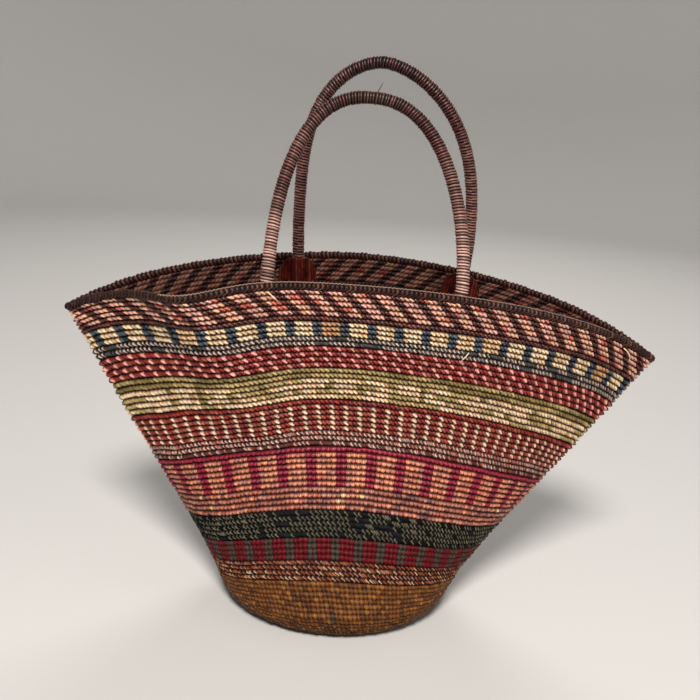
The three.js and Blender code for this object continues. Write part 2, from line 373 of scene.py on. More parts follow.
def math_node(tree, operation, *values):
    return add_node(tree, "Math", dict(enumerate(values)), operation=operation)[0]


def ranged(tree, value, low, high, to_low, to_high):
    return add_node(tree, "MapRange", {"From Min": low, "From Max": high, "To Min": to_low,
                                       "To Max": to_high, "Value": value})["Result"]


def build_fibre_group():
    group = bpy.data.node_groups.new("raffia_fibres", "ShaderNodeTree")
    for direction, names in (("INPUT", group_inputs), ("OUTPUT", group_outputs)):
        for name in names:
            kind = "NodeSocket" + socket_kinds.get(name, "Float")
            group.interface.new_socket(name=name, in_out=direction, socket_type=kind)
    entry = group.nodes.new("NodeGroupInput").outputs
    leave = group.nodes.new("NodeGroupOutput")

    # Long thin streaks: quick changes across a strand, slow ones along it
    stretch = add_node(group, "VectorMath", {0: entry["Place"], 1: streak_stretch},
                       operation="MULTIPLY")
    streak = add_node(group, "TexNoise", {"Vector": stretch[0], "Scale": 1, "Detail": 3})["Fac"]

    # A row of strands across the stitch, with slits between them
    split = add_node(group, "SeparateXYZ", {0: entry["Place"]})
    bend = math_node(group, "MULTIPLY_ADD", streak, strand_wave, -strand_wave / 2)
    across = math_node(group, "MULTIPLY", split["X"], entry["Strands"])
    saw = math_node(group, "FRACT", math_node(group, "ADD", across, bend))
    from_middle = math_node(group, "ABSOLUTE", math_node(group, "SUBTRACT", saw, 0.5))
    crown = ranged(group, from_middle, 0.5, 0.22, 0, 1)

    # The slits and the gaps between the stitches keep little light
    slit = math_node(group, "MULTIPLY_ADD", crown, 1 - slit_light, slit_light)
    tone = ranged(group, streak, *streak_range, -0.5, 0.5)
    toned = math_node(group, "MULTIPLY_ADD", tone, entry["Contrast"], 1)
    shade = math_node(group, "MULTIPLY", slit, toned)
    # Painted shade: the yarn colour is darkened in the slits and by the light each corner keeps
    shaded = math_node(group, "MULTIPLY", shade, entry["Depth"])
    tint = add_node(group, "VectorMath", {0: entry["Yarn"], "Scale": shaded}, operation="SCALE")
    raised = ranged(group, entry["Depth"], 0.35, 0.95, 0, 1)
    fill(group, leave, {
        "Colour": tint[0],
        "Roughness": ranged(group, streak, *streak_range, *roughness_range),
        "Height": math_node(group, "MULTIPLY_ADD", streak, 0.4, crown),
        "Gloss": math_node(group, "MULTIPLY", raised, entry["Sheen"]),
    })
    return group


fibres = build_fibre_group()
yarn_name = "yarn"
# The corner attribute named depth holds painted shade: the light each place keeps, low in the gaps
painted_shade_name = "depth"
map_name = "OFBake"
# Tint of the painted shade: deep gaps lose more green and blue than red
warm_gap_shade = np.array((0, 0.45, 0.55))
plain_specular = 0.12
coat_roughness = 0.36
bump_strength = 0.5
bump_distance = 0.0006


def raffia_material(name, place_scale, strands, contrast, sheen):
    """A material that reads the piece's own colours, the painted shade of its gaps and its map of
    stitches.
    """
    material = bpy.data.materials.new(name)
    material.use_nodes = True
    tree = material.node_tree
    yarn = add_node(tree, "Attribute", {}, attribute_name=yarn_name)
    depth = add_node(tree, "Attribute", {}, attribute_name=painted_shade_name)
    place = add_node(tree, "UVMap", {}, uv_map=map_name)
    scaled = add_node(tree, "VectorMath", {0: place[0], 1: (*place_scale, 1)},
                      operation="MULTIPLY")
    effect = add_node(tree, "Group", {
        "Place": scaled[0], "Yarn": yarn["Color"], "Depth": depth["Fac"], "Strands": strands,
        "Contrast": contrast, "Sheen": sheen}, node_tree=fibres)
    bumped = add_node(tree, "Bump", {"Height": effect["Height"], "Strength": bump_strength,
                                     "Distance": bump_distance})
    fill(tree, tree.nodes["Principled BSDF"], {
        "Specular IOR Level": plain_specular, "Coat Roughness": coat_roughness,
        "Base Color": effect["Colour"], "Roughness": effect["Roughness"],
        "Coat Weight": effect["Gloss"], "Normal": bumped[0]})
    return material


# %% [markdown]
# Colours are named once, as a dyer would name skeins, and written as the eye reads them (0-255).
# Blender works in linear light, so each is converted before use. The skeins of the lower bands are
# written darker than their yarn: that is painted shade of the bag's lower part.

# %% Skeins
def skein(red, green, blue):
    value = np.array((red, green, blue)) / 255
    return np.where(value <= 0.04045, value / 12.92, ((value + 0.055) / 1.055) ** 2.4)


dark_brown = skein(78, 34, 26)
plum = skein(108, 52, 46)
coral = skein(230, 177, 160)
salmon = skein(210, 104, 84)
peach = skein(240, 190, 154)
butter = skein(248, 232, 190)
straw = skein(228, 196, 146)
slate = skein(66, 82, 98)
off_white = skein(248, 238, 224)
blue_grey = skein(92, 100, 102)
brick = skein(138, 34, 28)
rose = skein(240, 172, 158)
olive = skein(134, 120, 66)
moss = skein(180, 164, 106)
cream = skein(246, 225, 186)
russet = skein(156, 72, 56)
ivory = skein(246, 218, 188)
magenta = skein(150, 32, 60)
# bottle, crimson and grey_green are written darker than the yarn, as painted shade of the lower bands
bottle = skein(9, 13, 12)
sage = skein(124, 128, 106)
navy = skein(26, 30, 46)
crimson = skein(100, 3, 18)
grey_green = skein(68, 56, 47)
tan = skein(182, 116, 76)
blush = skein(184, 124, 108)
apricot = skein(222, 146, 112)
clay = skein(198, 114, 94)
dusk = skein(164, 100, 82)
shell = skein(220, 170, 148)
sand = skein(208, 164, 116)
# rust, gold, ochre and deep_ochre are written darker than the yarn, as painted shade of the lower bands
rust = skein(88, 30, 16)
mauve = skein(116, 76, 76)
gold = skein(134, 88, 38)
ochre = skein(112, 68, 28)
deep_ochre = skein(86, 50, 20)
wine = skein(84, 26, 18)
thread = skein(130, 104, 88)
pale_thread = skein(236, 206, 168)


# %% [markdown]
# A round of crochet stands out as a ridge with a dark groove under it. Each stitch is a slanted
# lozenge, cut off from the next by a dark notch, and in the finer rounds a slit parts it in two.
# One grid makes a whole band: its columns run round the bag, and its rows go up the outer face,
# over the top and down the inner face. Its edges meet, and the doubles are merged there, so the
# band closes like a real ring.

# %% A grid laid over a shape
def numbers(items, name, width, kind):
    values = np.empty(len(items) * width, kind)
    items.foreach_get(name, values)
    return values.reshape(-1, width)


def draped(name, columns, rows, drape, cells, material, place=None):
    """A grid laid over a shape. drape gives each corner's place, cells each face's colour and light
    per corner, and place its spot on the map, if that isn't its share of the grid."""
    bm = bmesh.new()
    bmesh.ops.create_grid(bm, x_segments=columns, y_segments=rows, size=0.5)
    bmesh.ops.translate(bm, verts=bm.verts, vec=(0.5, 0.5, 0))
    bmesh.ops.scale(bm, verts=bm.verts, vec=(columns, rows, 1))
    mesh = bpy.data.meshes.new(name)
    bm.to_mesh(mesh)
    bm.free()
    # The flat grid's x and y are its column and row numbers
    corner = np.rint(numbers(mesh.vertices, "co", 3, np.float32)[:, :2]).astype(int)
    vertex = numbers(mesh.loops, "vertex_index", 1, np.int32)[:, 0]
    column, row = corner[vertex].T
    face_column = np.repeat(column.reshape(-1, 4).min(1), 4)
    face_row = np.repeat(row.reshape(-1, 4).min(1), 4)
    layer = mesh.uv_layers.new(name=map_name)
    spots = place(column, row) if place else np.stack((column / columns, row / rows), axis=-1)
    layer.uv.foreach_set("vector", spots.astype(np.float32).ravel())
    colour, depth = cells(face_column, face_row, column, row)
    # Painted shade in the gaps is tinted red-brown as well as darkened
    colour = colour * (1 - (1 - depth)[:, None] * warm_gap_shade)
    yarn = mesh.attributes.new(yarn_name, "FLOAT_COLOR", "CORNER")
    rgba = np.concatenate((colour, np.ones((len(colour), 1))), axis=1)
    yarn.data.foreach_set("color", rgba.astype(np.float32).ravel())
    # Painted shade per corner, low in the grooves, notches and slits
    gaps = mesh.attributes.new(painted_shade_name, "FLOAT", "CORNER")
    gaps.data.foreach_set("value", depth.astype(np.float32))
    placed = drape(corner[:, 0], corner[:, 1])
    mesh.vertices.foreach_set("co", placed.astype(np.float32).ravel())
    bm = bmesh.new()
    bm.from_mesh(mesh)
    bmesh.ops.remove_doubles(bm, verts=bm.verts, dist=2e-6)
    loose = sum(not edge.is_manifold for edge in bm.edges)
    made = finished(name, bm, mesh, material)
    print(name, "has", 2 * len(mesh.polygons), "triangles and", loose, "open edges")
    return made


# %% The crochet of one band
outer_rows = np.array((0, 0.13, 0.32, 0.5, 0.7, 0.88))
inner_rows = np.array((0, 0.2, 0.5, 0.8))
stitch_columns = np.array((0, 0.22, 0.5, 0.76))
ridge_out = 0.0029
groove_out = -0.0001
inner_ridge = 0.0029
inner_groove = 0.0009
gap_shade = 0.03
# Painted shade on the inner face: its colour is darker, and its gaps keep less light and less gloss
inner_shade = 0.42
inner_painted_shade = 0.5
dot_width = 0.18
groove_width = 0.23
slit_width = 0.12
vee_lean = 0.16
slant_lean = 0.26
floor_gap = 0.0002
wave_turns = (5, 9, 17)
wave_height = 0.0002
chance = np.random.default_rng(7)


def ring_rows(rounds):
    """A band's rows, in rounds from its foot: up the outer face, then down the inner."""
    outer = (np.arange(rounds)[:, None] + outer_rows).ravel()
    inner = (np.arange(rounds)[:, None] + inner_rows).ravel()
    level = np.concatenate((outer, [rounds, rounds], inner[::-1], [0, 0]))
    side = np.where(np.arange(len(level)) <= len(outer), 1, -1)
    side[-2:] = 1
    return level, side


def relief(stitch, level, fine, groove=None):
    """How proud the surface stands, from 0 in the grooves to 1 on the middle of a stitch. A close
    band has a dent at each stitch's foot, darkened into a dot with painted shade, and its groove
    is the light its grooves keep."""
    r = level - np.floor(level)
    u = stitch - np.floor(stitch)
    from_edge = np.minimum(u, 1 - u)
    if groove is not None:
        by_dot = np.exp(-((from_edge / dot_width) ** 2))
        by_groove = np.exp(-((np.minimum(r, 1 - r) / groove_width) ** 2))
        slit = fine * np.exp(-((np.minimum(from_edge, 0.5 - from_edge) / slit_width) ** 2))
        foot = 1 - np.clip((r - 0.3) / 0.4, 0, 1)
        dented = ((1 - groove) * by_groove * (1 - by_dot)
                  + (0.2 + 0.45 * (1 - groove) * foot) * by_dot * (1 - by_groove))
        return (1 - 0.93 * by_dot * by_groove - dented) * (1 - 0.8 * slit)
    notch = (1 - np.abs(np.sin(math.pi * u)) ** 0.8) * (1 - 0.5 * np.clip((r - 0.35) / 0.4, 0, 1))
    strand = 0.3 + 0.7 * np.abs(np.sin(math.tau * u)) ** 0.6
    width = (1 - notch) * np.where(fine, strand, 1)
    ridge = 1 - np.abs(2 * r - 1) ** (1.0 + 1.5 * width)
    return ridge * (0.2 + 0.8 * width)


def shading(proud):
    """How much light a place keeps, for a given relief."""
    return gap_shade + (1 - gap_shade) * np.minimum(1.25 * np.maximum(proud, 0) ** 1.6, 1)


def crochet_band(name, low, rounds, height, stitches, colours, fine, vee, groove, step, sheen):
    """colours holds rounds x two strands for each stitch x 3, from the foot of the band, and fine
    tells which rounds have parted stitches. Stitches lean to the left, or as vees both ways."""
    level, side = ring_rows(rounds)
    per_stitch = len(stitch_columns)
    columns = stitches * per_stitch
    bulge = chance.uniform(0.72, 1.12, (rounds + 1, stitches))
    drift = chance.uniform(-0.15, 0.15, (rounds + 1, stitches))
    lift = chance.uniform(-0.09, 0.09, (rounds + 1, stitches))
    waves = chance.uniform(0, math.tau, 3)
    fine = np.append(fine, fine[-1])

    def cell(column, row):
        tier = np.floor(level[row]).astype(int).clip(0, rounds)
        return tier, (column // per_stitch) % stitches

    def spot(column):
        return column // per_stitch + stitch_columns[column % per_stitch]

    def drape(column, row):
        r = level[row] % 1
        stitch = spot(column)
        reach = vee_lean * np.sin(math.tau * stitch) if vee else slant_lean
        lean = -reach * np.sin(math.tau * r)
        bias = step * (rounds - level[row])
        turned = stitch - lean + bias + drift[cell(column, row)] * np.sin(math.pi * r)
        around = stitched(turned / stitches % 1)
        wobble = sum(np.sin(math.tau * around * turns + wave)
                     for turns, wave in zip(wave_turns, waves))
        within = (level[row] > 0) * (level[row] < rounds)
        raised = lift[cell(column, row)] * height * np.sin(math.pi * r)
        up = low + level[row] * height + (wave_height * wobble + raised) * within
        up = sagged(around, up)
        point, out, _ = wall_frame(around, np.clip(up, 0, wall_top))
        proud = relief(stitch, level[row], fine[cell(column, row)[0]], groove)
        proud = proud * bulge[cell(column, row)]
        outer = groove_out + (ridge_out - groove_out) * proud
        inner = inner_groove + (inner_ridge - inner_groove) * proud
        placed = point + out * np.where(side[row] > 0, outer, -inner)[:, None]
        # Where the bag rests on the floor its stitches are pressed flat
        placed[:, 2] = np.maximum(placed[:, 2], floor_gap)
        return placed

    def cells(face_column, face_row, column, row):
        lower = np.minimum(level[face_row], level[face_row + 1])
        tier = np.floor(lower).astype(int).clip(0, rounds - 1)
        # Painted shade: the inner face is darkened, as the inside of the bag is shaded
        shown = np.where(side[face_row + 1] > 0, 1, inner_shade)
        shown = np.where(face_row >= len(level) - 2, 1, shown)
        proud = relief(spot(column), level[row], fine[tier], groove)
        light = shading(proud)
        light = np.where(side[row] > 0, light, inner_painted_shade * (0.35 + 0.65 * light))
        return colours[tier, face_column // 2] * shown[:, None], light

    def place(column, row):
        inner = row > rounds * len(outer_rows)
        height_share = np.where(inner, 2 * rounds + 1 - level[row], level[row])
        height_share = np.where(row == len(level) - 1, 2 * rounds + 2, height_share)
        return np.stack((spot(column) / stitches, height_share / (2 * rounds + 2)), axis=-1)

    material = raffia_material("raffia_" + name, (stitches, 2 * rounds + 2), 3, 0.7, sheen)
    made = draped("wall_" + name, columns, len(level) - 1, drape, cells, material, place)
    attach(made, "bag")
    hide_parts("band_" + name)


# %% [markdown]
# Each band has its own rule for which skein a stitch takes. A rule sees the round's number, from
# the top of the band, the stitch's number around the bag, and whether this is the first of its
# two strands. Each of its lines gives a place and a skein, and often the share of that place that
# takes it, drawn at random. Where lines overlap, the later one counts.

# %% Rules for the colours
def picked(rounds, stitches, fine, rule, even=0.0):
    """A colour for both strands of each stitch, alike unless the round is fine, each a little
    lighter or darker. With even at 1 all the tones are the same."""
    shape = (rounds, stitches * 2)
    row, strand = np.meshgrid(np.arange(rounds)[::-1], np.arange(shape[1]), indexing="ij")
    colours = np.zeros((*shape, 3))
    for where, colour, *share in rule(row, strand // 2, strand % 2 == 0):
        if share:
            where = where & (chance.random(shape) < share[0])
        colours[where] = colour
    tone = chance.uniform(0.72, 1.2, (*shape, 1))
    tone = tone * chance.uniform(0.8, 1.12, (rounds, stitches, 1)).repeat(2, axis=1)
    tone = tone ** (1 - even)
    warmth = chance.uniform(-0.06, 0.06, (*shape, 1))
    colours = colours * tone * (1 + warmth * np.array((1, 0, -1)))
    whole = colours[:, ::2].repeat(2, axis=1)
    colours = np.where(np.asarray(fine)[:, None, None], colours, whole)
    return colours / np.maximum(colours.max(-1, keepdims=True) / 0.95, 1)


def patches(like, length, share):
    """Short runs of stitches, so long, that take up about this share of the rounds."""
    rounds, total = like.shape
    runs = chance.random((rounds, total // 2 // length + 2)) < share
    start = chance.integers(0, length, rounds)
    stitch = np.arange(total) // 2
    return np.stack([runs[k, (stitch + start[k]) // length] for k in range(rounds)])


def diagonal_rule(row, stitch, first):
    # Two dark stitches in five, one stitch further round in each row down
    pattern, foot = row < 5, row >= 5
    step = (stitch - row) % 5
    yield pattern, coral
    yield pattern, peach, 0.3
    yield pattern & patches(row, 2, 0.1), salmon
    yield pattern & (step < 2), dark_brown
    yield pattern & (step == 1), plum, 0.5
    yield foot, dark_brown
    yield foot, plum, 0.4


def blue_cream_rule(row, stitch, first):
    blocks, ticks = row < 3, row >= 3
    block = ((stitch + 3) // 6 * 7) % 11
    dark = blocks & ((stitch + 3) % 6 < 2)
    yield blocks, butter
    yield blocks & (block == 2), straw
    yield blocks & (block == 4), sand
    yield blocks, straw, 0.2
    yield dark, slate
    yield dark, navy, 0.2
    yield ticks, off_white
    yield ticks & first, blue_grey
    yield ticks & ~first & patches(row, 3, 0.2), blue_grey
    yield ticks & first, navy, 0.3


def red_dot_rule(row, stitch, first):
    yield row >= 0, brick
    yield row >= 0, russet, 0.08
    yield (stitch + (row % 2) * 2) % 3 == 0, rose


def green_cream_rule(row, stitch, first):
    top, rest = row < 2, row >= 2
    middle = rest & (row < 5)
    yield top, moss
    yield top & patches(row, 5, 0.35), olive
    yield rest, cream
    yield rest & patches(row, 6, 0.3), moss
    yield middle & (stitch % 7 < 2), moss, 0.7
    yield middle & (stitch % 7 == 0), olive, 0.5
    yield rest, straw, 0.1


def brown_tick_rule(row, stitch, first):
    top, ticks, foot = row == 0, (row > 0) & (row < 6), row >= 6
    yield top, brick
    yield top, russet, 0.4
    yield ticks, russet
    yield ticks, brick, 0.3
    yield ticks & (stitch % 3 == 0), ivory
    yield foot, russet
    yield foot & ~first, off_white
    yield foot, rose, 0.2
    yield row == 8, mauve, 0.4


def peach_magenta_rule(row, stitch, first):
    rest, foot = row > 0, row >= 7
    yield row == 0, magenta
    yield rest, apricot
    yield rest, clay, 0.3
    yield rest, blush, 0.25
    yield rest & ~foot & (stitch % 6 < 2), magenta
    yield foot, dusk, 0.75
    yield foot, blush, 0.3
    yield foot, straw, 0.04
    yield foot, mauve, 0.1


def dark_green_rule(row, stitch, first):
    yield row >= 0, bottle
    yield first, sage, 0.93
    yield ~first, sage, 0.04
    yield patches(row, 2, 0.07), navy
    yield row == 0, bottle, 0.2
    yield row == 4, bottle, 0.2


def red_grey_rule(row, stitch, first):
    yield row >= 0, crimson
    yield stitch % 5 < 2, grey_green


def tan_pink_rule(row, stitch, first):
    yield row >= 0, rust
    yield first, tan
    yield first, shell, 0.4
    yield first & (row > 0), cream, 0.3
    yield ~first, tan, 0.25


def ochre_rule(row, stitch, first):
    yield row >= 0, ochre
    yield row >= 0, gold, 0.25
    yield row >= 0, deep_ochre, 0.15
    yield row >= 10, deep_ochre, 0.25
    yield (row > 2) & (row < 9) & (stitch % 23 == 4), deep_ochre, 0.7
    yield (row > 3) & (row < 10) & (stitch % 29 == 9), grey_green, 0.7


# %% [markdown]
# The ten bands go on from the base up. For each: its rule, the rounds with two thin strands, from
# its top, whether its stitches are little vees, how much light the grooves of a close band keep,
# how far a round is set off from the last, and the sheen.

# %% Work the bands
works = {
    "ochre": (ochre_rule, (), True, 0.66, 0.3, 0.12),
    "tan_pink": (tan_pink_rule, range(4), False, 0.2, 0.5, 0.2),
    "red_grey": (red_grey_rule, (), True, 0.62, 0.1, 0.1),
    "dark_green": (dark_green_rule, range(5), False, 0.5, 0.4, 0.15),
    "peach_magenta": (peach_magenta_rule, (), True, 0.16, 0.1, 0.35),
    "brown_tick": (brown_tick_rule, (6, 7, 8), False, None, 0.12, 0.6),
    "green_cream": (green_cream_rule, (), False, None, 0.12, 0.7),
    "red_dot": (red_dot_rule, (), False, None, 0.12, 0.7),
    "blue_cream": (blue_cream_rule, (3, 4), False, None, 0.12, 0.8),
    "diagonal": (diagonal_rule, (), False, None, 0.12, 0.8),
}
low = 0
for name, rounds, height, stitches in bands:
    rule, parted, vee, groove, step, sheen = works[name]
    fine = np.array([rounds - 1 - tier in parted for tier in range(rounds)])
    colours = picked(rounds, stitches, fine, rule, 0.4 if vee else 0)
    crochet_band(name, low, rounds, height, stitches, colours, fine, vee, groove, step, sheen)
    low += rounds * height

# %% [markdown]
# The base is an oval of ochre rounds. It shows from below and, inside the bag, from above, so one
# grid makes both faces, each running in to a pole.

# %% Base
base_rounds = 15
base_stitches = 96
base_per_stitch = 3
base_rise = 0.0006
base_material = raffia_material("raffia_base", (base_stitches, 2 * base_rounds + 1), 2, 0.5, 0.2)


def make_base():
    level = (np.arange(base_rounds)[:, None] + inner_rows).ravel()
    level = np.concatenate((level, [base_rounds, base_rounds], level[::-1]))
    under = np.arange(len(level)) <= len(level) // 2 - 1
    columns = base_stitches * base_per_stitch
    colours = picked(base_rounds, base_stitches, [False] * base_rounds, ochre_rule, 0.5)[:, ::2]

    def drape(column, row):
        share = level[row] / base_rounds
        angle = column / columns * math.tau
        # A stitch keeps its size, so the inner rounds hold fewer of them
        held = np.maximum(np.rint(base_stitches * (np.floor(level[row]) + 0.5) / base_rounds), 4)
        proud = relief(held * column / columns, level[row], False)
        rise = base_rise + (half_wall - base_rise) * proud * np.minimum(share * 6, 1)
        z = half_wall + np.where(under[row], -rise, rise)
        return np.stack((base_half_length * share * np.cos(angle),
                         base_half_depth * share * np.sin(angle), z), axis=-1)

    def cells(face_column, face_row, column, row):
        tier = np.floor(np.minimum(level[face_row], level[(face_row + 1) % len(level)]))
        tier = tier.astype(int).clip(0, base_rounds - 1)
        held = np.maximum(np.rint(base_stitches * (tier + 0.5) / base_rounds), 4)
        stitch = (face_column / columns * held).astype(int) % base_stitches
        proud = relief(held * column / columns, level[row], False)
        return colours[tier, stitch], shading(proud)

    made = draped("base", columns, len(level) - 1, drape, cells, base_material)
    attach(made, "bag")
    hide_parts("base_disc")


make_base()

# %% [markdown]
# The mouth is edged with one thick round of dark yarn. Its loops lie over each other like the
# strands of a rope, so the grid is sheared by most of a loop round the section. Some loops show a
# pale strand, and along the front a thin pale thread runs over them in a zigzag.

# %% Edge of the mouth
rim_loops = 290
rim_per_loop = 6
rim_sides = 12
rim_height = 0.0035
rim_drop = 0.0015
rim_shear = 0.9
edge_brown = skein(50, 21, 15)
dull_edge = skein(98, 66, 52)
rim_material = raffia_material("raffia_edge", (rim_loops, 3), 2, 0.6, 0.2)


def make_rim():
    columns = rim_loops * rim_per_loop
    tones = chance.uniform(0.6, 1.3, (rim_loops, 1))
    pale = chance.uniform(0, 1, (rim_loops, 1)) ** 3
    sizes = chance.uniform(0.86, 1.12, rim_loops + 1)

    def crown(column):
        return 1 - np.abs(2 * ((column / rim_per_loop) % 1) - 1) ** 2

    def drape(column, row):
        loop = column / rim_per_loop
        around = (loop - rim_shear * row / rim_sides) / rim_loops
        around = np.where(row == rim_sides, loop / rim_loops, around)
        turned = (row / rim_sides) * math.tau
        point, out, rise = wall_frame(around, rim_centre - rim_drop)
        swell = (0.74 + 0.32 * crown(column)) * sizes[np.floor(loop).astype(int) % rim_loops]
        aside = out * (rim_radius * swell * np.cos(turned))[:, None]
        return point + aside + rise * (rim_height * swell * np.sin(turned))[:, None]

    def cells(face_column, face_row, column, row):
        loop = (face_column // rim_per_loop) % rim_loops
        strand = face_column % rim_per_loop < 3
        dark = edge_brown * tones[loop]
        colour = np.where(strand[:, None], dark + (dull_edge - dark) * pale[loop], dark)
        return colour, shading(crown(column))

    made = draped("rim", columns, rim_sides, drape, cells, rim_material)
    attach(made, "bag")
    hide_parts("rim_edge")


make_rim()


# %% Thin threads
thread_sides = 6
thread_radius = 0.0004
thread_aside = (0.31, 0.2, 0.93)
thread_taper = 0.6


def thread_mesh(name, lines, colour):
    """Round threads along given lines, all in one mesh, each thinner at its last end."""
    bm = bmesh.new()
    turned = [step / thread_sides * math.tau for step in range(thread_sides)]
    for line in lines:
        last = len(line) - 1
        ahead = np.roll(line, -1, 0) - np.roll(line, 1, 0)
        ahead[0], ahead[-1] = line[1] - line[0], line[-1] - line[-2]
        ahead = unit(ahead)
        first = unit(np.cross(ahead, thread_aside))
        second = np.cross(ahead, first)
        rings = []
        for k in range(last + 1):
            thin = thread_radius * (1 - thread_taper * (k / last) ** 3)
            rings.append([bm.verts.new(line[k] + thin * (first[k] * math.cos(a)
                                                         + second[k] * math.sin(a)))
                          for a in turned])
        for near, far in zip(rings, rings[1:]):
            for i in range(thread_sides):
                j = (i + 1) % thread_sides
                bm.faces.new((near[i], near[j], far[j], far[i]))
        bm.faces.new(rings[0][::-1])
        bm.faces.new(rings[-1])
    return finished(name, bm, bpy.data.meshes.new(name), plain_material(name, colour, 0.6))


zigzag_from = 0.60
zigzag_to = 0.945
zigzags = 120
zigzag_steps = 8
zigzag_angle = 76
zigzag_swing = 12
zigzag_lift = 0.0002


def make_rim_thread():
    step = np.arange(zigzags * zigzag_steps + 1)
    reach = chance.uniform(0.6, 1.15, zigzags + 2)
    phase = (step / zigzag_steps) % 1
    swing = (1 - 4 * np.abs(phase - 0.5)) * reach[step // zigzag_steps]
    around = zigzag_from + (zigzag_to - zigzag_from) * step / step[-1]
    point, out, rise = wall_frame(around, rim_centre - rim_drop)
    turned = np.radians(zigzag_angle + zigzag_swing * swing)
    line = point + out * ((rim_radius + zigzag_lift) * np.cos(turned))[:, None]
    line = line + rise * ((rim_height + zigzag_lift) * np.sin(turned))[:, None]
    made = thread_mesh("rim_thread", [line], thread)
    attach(made, "bag")


make_rim_thread()

# %% [markdown]
# A handle is a rope wound from end to end with raffia. Its line is the sized model's: up inside
# the wall, over an arch and down again. The arch leans in from a hinge line just above the rim,
# where the rope bends when the handle is laid down.

# %% Sizes of the handles
handle_radius = 0.0052
handle_span = 0.150
arch_steps = 200
# lit_paleness is partly painted highlight: how pale each handle's wraps are painted
handles = {
    "front": {"side": -1, "centre": 0.011, "lean": 20, "spread": 0.85, "crown": 0.95,
              "skew": -0.004, "height": 0.146, "lit_paleness": 0.27},
    "back": {"side": 1, "centre": 0.024, "lean": 8, "spread": 1.17, "crown": 0.58,
             "skew": -0.014, "height": 0.165, "lit_paleness": 0.12},
}
hinge_inset = 0.0046
hinge_rise = 0.0064
running_gap = 0.0003
rope_end_radius = 0.0049
rope_end_length = 0.048
upwards = np.array((0.0, 0.0, 1.0))


# %% The line of a handle
def around_at(x, side):
    """How far around the mouth, on one side of the bag, the rim reaches a given x."""
    right, left = (0.0, 0.5) if side > 0 else (1.0, 0.5)
    for _ in range(40):
        middle = (right + left) / 2
        if wall_point(middle, rim_centre)[0] > x:
            right = middle
        else:
            left = middle
    return (right + left) / 2


def handle_feet(handle):
    """Each foot's place around the mouth and its end of the hinge line, then up and inwards."""
    feet = []
    for end in (-1, 1):
        around = around_at(handle["centre"] + end * handle_span / 2, handle["side"])
        point, out, _ = wall_frame(around, rim_centre)
        inward = -unit(out * (1, 1, 0))
        feet.append((around, point + inward * hinge_inset + upwards * hinge_rise))
    axis = unit(feet[1][1] - feet[0][1])
    upright = unit(upwards - axis * axis[2])
    inward = np.cross(upright, axis) * -handle["side"]
    return feet, upright, inward


def leaning(handle):
    _, upright, inward = handle_feet(handle)
    angle = math.radians(handle["lean"])
    up = upright * math.cos(angle) + inward * math.sin(angle)
    across = inward * math.cos(angle) - upright * math.sin(angle)
    return up, across * (handle_radius + running_gap)


def arch_line(handle):
    feet = handle_feet(handle)[0]
    up, beside = leaning(handle)
    left, right = feet[0][1] + beside, feet[1][1] + beside
    t = np.linspace(0, 1, arch_steps + 1)
    cosine = -np.cos(math.pi * t)
    across = np.sign(cosine) * np.abs(cosine) ** handle["spread"]
    climb = np.maximum(np.sin(math.pi * t), 0) ** handle["crown"]
    line = (left + right) / 2 + across[:, None] * (right - left) / 2
    line = line + (climb * handle["height"])[:, None] * up
    line[:, 0] += handle["skew"] * climb**2
    return line


def rope_end_line(foot):
    inset = rim_radius + running_gap + rope_end_radius
    levels = np.linspace(rim_centre - rope_end_length, rim_centre - rope_end_radius, 12)
    point, out, _ = wall_frame(foot[0], levels)
    return point - out * inset


def on_line(line, share, at):
    """The points of a line at given shares of its length."""
    return np.stack([np.interp(at, share, line[:, k]) for k in range(3)], axis=-1)


def smoothed(line, spacing=0.0005, reach=9):
    """Evenly spaced points on a line, with its corners rounded off."""
    share, length = even_share(line)
    points = on_line(line, share, np.linspace(0, 1, int(length / spacing)))
    window = np.hanning(2 * reach + 3)[1:-1]
    padded = np.concatenate((np.repeat(points[:1], reach, 0), points,
                             np.repeat(points[-1:], reach, 0)))
    return np.stack([np.convolve(padded[:, k], window / window.sum(), "valid")
                     for k in range(3)], axis=-1)


# %% [markdown]
# The winding is one long strip. A few rows of the grid make one turn, and the grid is sheared along
# the rope, so that the strip's edges follow the rows and stay crisp.

# %% Wind the handles
wrap_pitch = 0.0024
rows_per_wrap = 6
rope_sides = 20
wrap_fullness = 1.7
wrap_groove = 0.0007
wrap_rise = 0.0009
end_rounding = 0.003
mauve_brown = skein(96, 50, 45)
pale_lit_wrap = skein(242, 208, 192)


